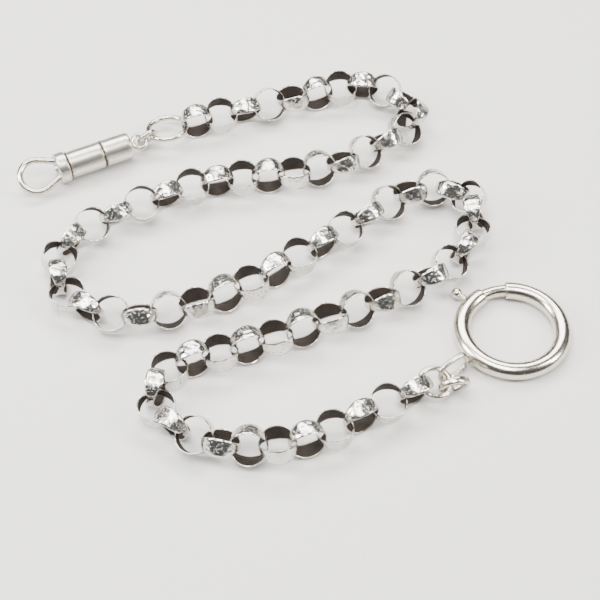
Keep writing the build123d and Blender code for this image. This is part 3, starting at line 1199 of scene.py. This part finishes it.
@dataclass(frozen=True)
class LooseRing:
    """The small stout ring that hangs beside the bolt ring's eye.

    Attributes:
        radius: Radius to the middle of its band.
        wide: Width of the band.
        thick: Thickness of the band.
        place: Its centre, in the frame of the lie.
        turn: Direction on the surface and roll.
    """

    radius: float = 2.0
    wide: float = 1.15
    thick: float = 0.78
    place: tuple[float, float, float] = (22.13, -17.43, 2.47)
    turn: tuple[float, float, float] = (0.977, 0.214, -16.3)

    def build(self, silver: bpy.types.Material) -> None:
        """Make the ring.

        Args:
            silver: Its material.
        """
        frame = turned_frame(self.place, self.turn[:2], self.turn[2])
        section = soft_box_section(self.thick, self.wide, 0.72)
        path = circle_path(self.radius, 96)
        mesh = PieceMesh().loop(
            path, section, frame, True, lambda s: 0.985 + 0.015 * math.sin(12.6 * s)
        )
        piece = mesh.finish("stout_loose_ring", silver)
        dress(piece, Body.LOOSE_RING.value, Slot.WIRE, ["loose_ring"])


# ------------------------------------------------------------------ the screw barrel
@dataclass
class ScrewBarrel:
    """The barrel: wire loop, collar and rivet, sleeve, and cap with its eye.

    Distances along it are from the collar's outer face, towards the chain.

    Attributes:
        start: Centre of the collar's outer face, in the frame of the lie.
        along: Direction of the barrel on the surface.
        collar: Radius of the collar.
        collar_end: Where the collar ends.
        barrel: Radius of the sleeve and the cap.
        sleeve: Ends of the sleeve.
        cap: Ends of the cap.
        end_wall: Thickness of the sleeve's end wall.
        thread_bore: Bore of the sleeve.
        pin_bore: Bore of the collar and the end wall.
        recess: Depth and bore of the cap's recess.
        seam_mark: Tarnish mark beside each seam.
        inside_shade_mark: Mark of tarnish and painted shade inside.
        loop_radius: Radius of the wire loop.
        loop_wire: Radius of its wire.
        loop_centre: Where its centre stands.
        loop_converge: How far each leg leans in, in degrees.
        loop_leg_end: Where its legs end.
        loop_roll: Roll of the loop.
        eye_radius: Radius of the cap's eye.
        eye_wire: Radius of its wire and its shank.
        eye_gap: From the cap's end to the eye.
        eye_roll: Roll of the eye.
    """

    start: tuple[float, float] = (-39.39, 24.91)
    along: tuple[float, float] = (0.9, 0.4357)
    collar: float = 2.55
    collar_end: float = 1.75
    barrel: float = 2.2
    sleeve: tuple[float, float] = (1.87, 7.75)
    cap: tuple[float, float] = (7.85, 12.75)
    end_wall: float = 0.88
    thread_bore: float = 1.7
    pin_bore: float = 0.56
    recess: tuple[float, float] = (2.55, 1.64)
    seam_mark: float = 0.64
    inside_shade_mark: float = 0.9
    loop_radius: float = 2.72
    loop_wire: float = 0.54
    loop_centre: float = -3.4
    loop_converge: float = 23.0
    loop_leg_end: float = 0.7
    loop_roll: float = 65.0
    eye_radius: float = 1.15
    eye_wire: float = 0.38
    eye_gap: float = 0.12
    eye_roll: float = 62.0

    @property
    def frame(self) -> Matrix:
        """Frame of the barrel, with x along it and z the wire loop's axis."""
        return turned_frame((*self.start, self.collar), self.along, self.loop_roll)

    def place(self, distance: float, radius: float, turn: float) -> Vector:
        """Point at a distance along the barrel, at a radius and a turn."""
        return self.frame @ Vector((distance, radius * math.cos(turn), radius * math.sin(turn)))

    def turned(
        self,
        name: str,
        points: Sequence[tuple[float, float]],
        closed: bool,
        silver: bpy.types.Material,
        tarnish_and_shade: Callable[[int], float] = lambda row: 0.0,
    ) -> bpy.types.Object:
        """A piece turned on the lathe, with edges kept crisp.

        Args:
            name: Name of the piece.
            points: Distance along and radius of each point of its outline.
            closed: True where the outline closes on itself.
            silver: Its material.
            tarnish_and_shade: Mark of each row of the divided outline for tarnish and painted shade.

        Returns:
            The piece.
        """
        rows = self.outline(points)
        piece = PieceMesh().stations(rows, self.place, 72, closed, tarnish_and_shade).finish(name, silver)
        piece.data.set_sharp_from_angle(angle=math.radians(38))
        return piece

    @staticmethod
    def outline(
        points: Sequence[tuple[float, float]], longest: float = 0.5
    ) -> list[tuple[float, float]]:
        """Outline with its long stretches divided.

        Args:
            points: Distance along and radius of each point.
            longest: Longest step along the barrel.

        Returns:
            The divided outline.
        """
        rows = []
        for (x0, r0), (x1, r1) in zip(points, points[1:]):
            parts = max(1, math.ceil(abs(x1 - x0) / longest))
            rows += [(x0 + (x1 - x0) * k / parts, r0 + (r1 - r0) * k / parts) for k in range(parts)]
        return rows + [points[-1]]

    @staticmethod
    def groove(at: float, radius: float, width: float, depth: float) -> list[tuple[float, float]]:
        """Outline points of a fine turned groove."""
        return [
            (at - width / 2, radius), (at - width / 6, radius - depth),
            (at + width / 6, radius - depth), (at + width / 2, radius),
        ]

    def build(self, silver: bpy.types.Material, wire: bpy.types.Material) -> None:
        """Make the barrel's pieces.

        Args:
            silver: Material of the turned pieces.
            wire: Material of the loop and the eye.
        """
        dress(self.loop_piece(wire), Body.LOOP.value, Slot.WIRE, ["wire_loop"])
        dress(self.collar_piece(silver), Body.LOOP.value, Slot.BARREL, ["loop_collar"])
        dress(self.rivet_piece(silver), Body.PIN.value, Slot.BARREL, ["swivel_pin"])
        dress(self.sleeve_piece(silver), Body.SLEEVE.value, Slot.BARREL, ["barrel_sleeve"])
        dress(self.cap_piece(silver), Body.CAP.value, Slot.BARREL, ["barrel_cap"])
        dress(self.eye_piece(wire), Body.CAP.value, Slot.WIRE, ["cap_eye"])

    def loop_piece(self, wire: bpy.types.Material) -> bpy.types.Object:
        """The horseshoe loop of wire, its legs let into the collar.

        Args:
            wire: Its material.

        Returns:
            The piece.
        """
        lean = math.radians(self.loop_converge)
        radius, centre, end_x = self.loop_radius, self.loop_centre, self.loop_leg_end
        bend_x, bend_y = centre + radius * math.sin(lean), radius * math.cos(lean)
        end_y = bend_y - (end_x - bend_x) * math.tan(lean)
        parts, bend_steps = 14, 72
        leg = [
            (end_x + (bend_x - end_x) * k / parts, end_y + (bend_y - end_y) * k / parts)
            for k in range(parts)
        ]
        path = list(leg)
        for step in range(bend_steps + 1):
            turn = math.pi / 2 - lean + (math.pi + 2 * lean) * step / bend_steps
            path.append((centre + radius * math.cos(turn), radius * math.sin(turn)))
        path += [(x, -y) for x, y in reversed(leg)]
        section = round_section(self.loop_wire, 28)
        mesh = PieceMesh().loop(
            path, section, self.frame, False, lambda s: 1 - 0.02 * (1 + math.sin(14 * s))
        )
        return mesh.finish("horseshoe_loop", wire)

    def collar_piece(self, silver: bpy.types.Material) -> bpy.types.Object:
        """The collar, with softened edges and a line near each of them.

        Args:
            silver: Its material.

        Returns:
            The piece.
        """
        r, end, soft = self.collar, self.collar_end, 0.2
        # How far in from the end face, and how far below the full radius, each point of an edge is.
        edge = ((0.0, soft * 1.4), (0.03, soft * 0.8), (soft * 0.5, soft * 0.25), (soft, 0.0))
        points = [(0.0, self.pin_bore)] + [(inset, r - drop) for inset, drop in edge]
        points += self.groove(0.42, r, 0.12, 0.05) + self.groove(end - 0.42, r, 0.12, 0.05)
        points += [(end - inset, r - drop) for inset, drop in reversed(edge)]
        points.append((end, self.pin_bore))
        return self.turned("turned_collar", points, True, silver)

    def rivet_piece(self, silver: bpy.types.Material) -> bpy.types.Object:
        """The swivel pin with its riveted head and its foot inside the sleeve.

        Args:
            silver: Its material.

        Returns:
            The piece.
        """
        head = [(-0.44, 0.2), (-0.42, 0.42), (-0.34, 0.6), (-0.2, 0.72), (-0.08, 0.75), (-0.02, 0.74)]
        foot = [(2.85, 1.1), (3.25, 1.1)]
        rows = head + [(-0.02, 0.5), (2.85, 0.5)] + foot
        piece = PieceMesh().stations(rows, self.place, 72, False).finish("swivel_rivet", silver)
        piece.data.set_sharp_from_angle(angle=math.radians(38))
        return piece

    def sleeve_piece(self, silver: bpy.types.Material) -> bpy.types.Object:
        """The screwed sleeve, open towards the cap, with tarnish at both seams.

        Args:
            silver: Its material.

        Returns:
            The piece.
        """
        low, high = self.sleeve
        r, soft, wall = self.barrel, 0.16, self.sleeve[0] + self.end_wall
        points = [
            (low, self.pin_bore), (low, r - soft * 1.3), (low + soft * 0.4, r - soft * 0.3),
            (low + soft, r),
        ]
        points += self.groove(low + 0.5, r, 0.16, 0.06)
        points += [(high - 0.1, r), (high - 0.03, r - 0.03), (high, r - 0.1), (high, self.thread_bore)]
        outside = len(self.outline(points))

        def mark(row: int) -> float:
            """Tarnish and painted shade of one row: painted shade inside, brown beside the seams."""
            if row >= outside - 1:
                return self.inside_shade_mark
            return self.seam_mark if row < 4 or row >= outside - 4 else 0.0

        points += [(wall, self.thread_bore), (wall, self.pin_bore)]
        return self.turned("screwed_sleeve", points, True, silver, mark)

    def cap_piece(self, silver: bpy.types.Material) -> bpy.types.Object:
        """The cap, recessed for the screw and rounded at its far end.

        Args:
            silver: Its material.

        Returns:
            The piece.
        """
        low, high = self.cap
        r, soft, (depth, bore) = self.barrel, 0.55, self.recess
        points = [
            (low + depth, 0.3), (low + depth, bore), (low, bore), (low, r - 0.1),
            (low + 0.03, r - 0.03), (low + 0.1, r),
        ]
        inside, seam_end = 8, 11
        points += self.groove(high - 1.0, r, 0.14, 0.05)
        for step in range(9):
            angle = math.pi / 2 * step / 8
            points.append((high - soft + soft * math.sin(angle), r - soft + soft * math.cos(angle)))
        points += [(high, 0.9), (high + 0.08, 0.6), (high + 0.1, 0.4)]

        def mark(row: int) -> float:
            """Tarnish and painted shade of one row: painted shade in the recess, brown beside the
            seam.
            """
            return self.inside_shade_mark if row < inside else self.seam_mark if row < seam_end else 0.0

        return self.turned("rounded_cap", points, False, silver, mark)

    def eye_piece(self, wire: bpy.types.Material) -> bpy.types.Object:
        """The small eye on the cap's end, on a short shank.

        Args:
            wire: Its material.

        Returns:
            The piece.
        """
        ring_start = self.cap[1] + self.eye_gap + self.eye_wire
        centre = self.frame @ Vector((ring_start + self.eye_radius, 0.0, 0.0))
        place = (centre.x + LIE_CENTRE[0], centre.y + LIE_CENTRE[1], centre.z)
        frame = turned_frame(place, self.along, self.eye_roll)
        section = round_section(self.eye_wire)
        mesh = PieceMesh().loop(circle_path(self.eye_radius, 72), section, frame, True)
        shank = self.outline([(self.cap[1] - 1.4, self.eye_wire), (ring_start, self.eye_wire)])
        mesh.stations(shank, self.place, 24, False, lambda row: 0.5)
        return mesh.finish("cap_end_eye", wire)


# ------------------------------------------------------------------ light and camera
# Name, place, width and height, watts and colour of each softbox.
STUDIO_LIGHTS = (
    ("back_softbox", (-0.02, 0.27, 0.36), (0.46, 0.2), 3.8, (1.0, 0.98, 0.95)),
    ("top_softbox", (-0.05, -0.08, 0.44), (0.34, 0.2), 3.4, (1.0, 0.99, 0.97)),
    ("left_softbox", (-0.34, -0.02, 0.24), (0.12, 0.22), 2.2, (0.97, 0.98, 1.0)),
    ("right_strip", (0.33, -0.06, 0.26), (0.06, 0.24), 1.7, (1.0, 0.97, 0.93)),
)


@dataclass
class Studio:
    """Soft lights and the camera.

    Attributes:
        aim: What the camera looks at, in metres.
        distance: From there to the camera.
        elevation: Angle of the camera above the surface, in degrees.
        angle_of_view: The lens's angle of view, in degrees.
    """

    aim: tuple[float, float, float] = (-LIE_CENTRE[0] * MM, -LIE_CENTRE[1] * MM, 0.0)
    distance: float = 0.2162
    elevation: float = 52.0
    angle_of_view: float = 23.93

    def build(self) -> None:
        """Set up the camera, the lights and the room's own light."""
        rise = math.radians(self.elevation)
        eye = Vector(self.aim) + Vector((0.0, -math.cos(rise), math.sin(rise))) * self.distance
        lens = bpy.data.cameras.new("camera")
        lens.sensor_fit = "HORIZONTAL"
        lens.angle = math.radians(self.angle_of_view)
        lens.clip_start = 0.005
        camera = bpy.data.objects.new("camera", lens)
        camera.matrix_world = self._facing_aim(eye)
        bpy.context.collection.objects.link(camera)
        bpy.context.scene.camera = camera
        for light in STUDIO_LIGHTS:
            self._light(*light)
        world = bpy.data.worlds.new("room")
        world.use_nodes = True
        background = world.node_tree.nodes["Background"]
        background.inputs["Color"].default_value = (0.80, 0.84, 0.90, 1.0)
        background.inputs["Strength"].default_value = 0.1
        bpy.context.scene.world = world

    def _facing_aim(self, where: Vector) -> Matrix:
        """Place of a camera or a light that faces the middle of the chain."""
        turn = (Vector(self.aim) - where).to_track_quat("-Z", "Y").to_matrix().to_4x4()
        return Matrix.Translation(where) @ turn

    def _light(
        self,
        name: str,
        place: Sequence[float],
        size: Sequence[float],
        watts: float,
        colour: Sequence[float],
    ) -> None:
        """Add one soft area light, aimed at the middle of the chain."""
        data = bpy.data.lights.new(name, "AREA")
        data.shape = "RECTANGLE"
        data.size, data.size_y = size
        data.energy = watts
        data.color = colour
        light = bpy.data.objects.new(name, data)
        light.matrix_world = self._facing_aim(Vector(place))
        bpy.context.collection.objects.link(light)


def dress_inner_nodes(nodes: dict[str, bpy.types.Object], brass: bpy.types.Material) -> None:
    """Give the CAD nodes that stay their own material.

    Args:
        nodes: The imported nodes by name.
        brass: Material of the screw stud and the spring's stop.
    """
    for name in ("screw_stud", "spring_stop"):
        piece = nodes[name]
        piece.data.materials.clear()
        piece.data.materials.append(brass)


def main(frame: dict[str, Any]) -> None:
    """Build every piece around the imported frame.
    """
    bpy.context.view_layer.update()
    chain_silver = WornSilver(
        "chain_silver_worn",
        tarnish=0.38,
        roughness=0.2,
        dent_size=0.7,
        dent_depth=0.17,
        pitting=0.8,
    ).build()
    ring_silver = WornSilver(
        "ring_silver_polished",
        bright=(0.70, 0.65, 0.56, 1.0),
        tarnish=0.2,
        roughness=0.21,
        dent_size=2.0,
        dent_depth=0.04,
        pitting=0.25,
    ).build()
    wire_silver = WornSilver(
        "wire_silver_worn",
        bright=(0.66, 0.62, 0.55, 1.0),
        tarnish=0.55,
        roughness=0.2,
        dent_size=0.9,
        dent_depth=0.05,
    ).build()
    barrel_silver = WornSilver(
        "barrel_silver_turned",
        bright=(0.68, 0.65, 0.585, 1.0),
        tarnish=0.3,
        roughness=0.31,
        dent_size=1.9,
        dent_depth=0.025,
        pitting=0.2,
    ).build()
    steel = DullMetal("spring_steel_dark", (0.35, 0.34, 0.33, 1.0), (0.12, 0.09, 0.07, 1.0)).build()
    brass = DullMetal("inner_brass_dull", (0.55, 0.40, 0.20, 1.0), (0.20, 0.13, 0.07, 1.0)).build()

    BelcherChain().build(frame["bodies"], chain_silver)
    BoltRing().build(ring_silver, wire_silver, steel)
    for ring in WIRE_RINGS:
        ring.build(wire_silver)
    LooseRing().build(wire_silver)
    ScrewBarrel().build(barrel_silver, wire_silver)
    dress_inner_nodes(frame["nodes"], brass)
    FloorCard().build()
    Studio().build()


if __name__ == "__main__":
    logging.basicConfig(level=logging.INFO, format="%(name)s %(message)s")
    main(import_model())
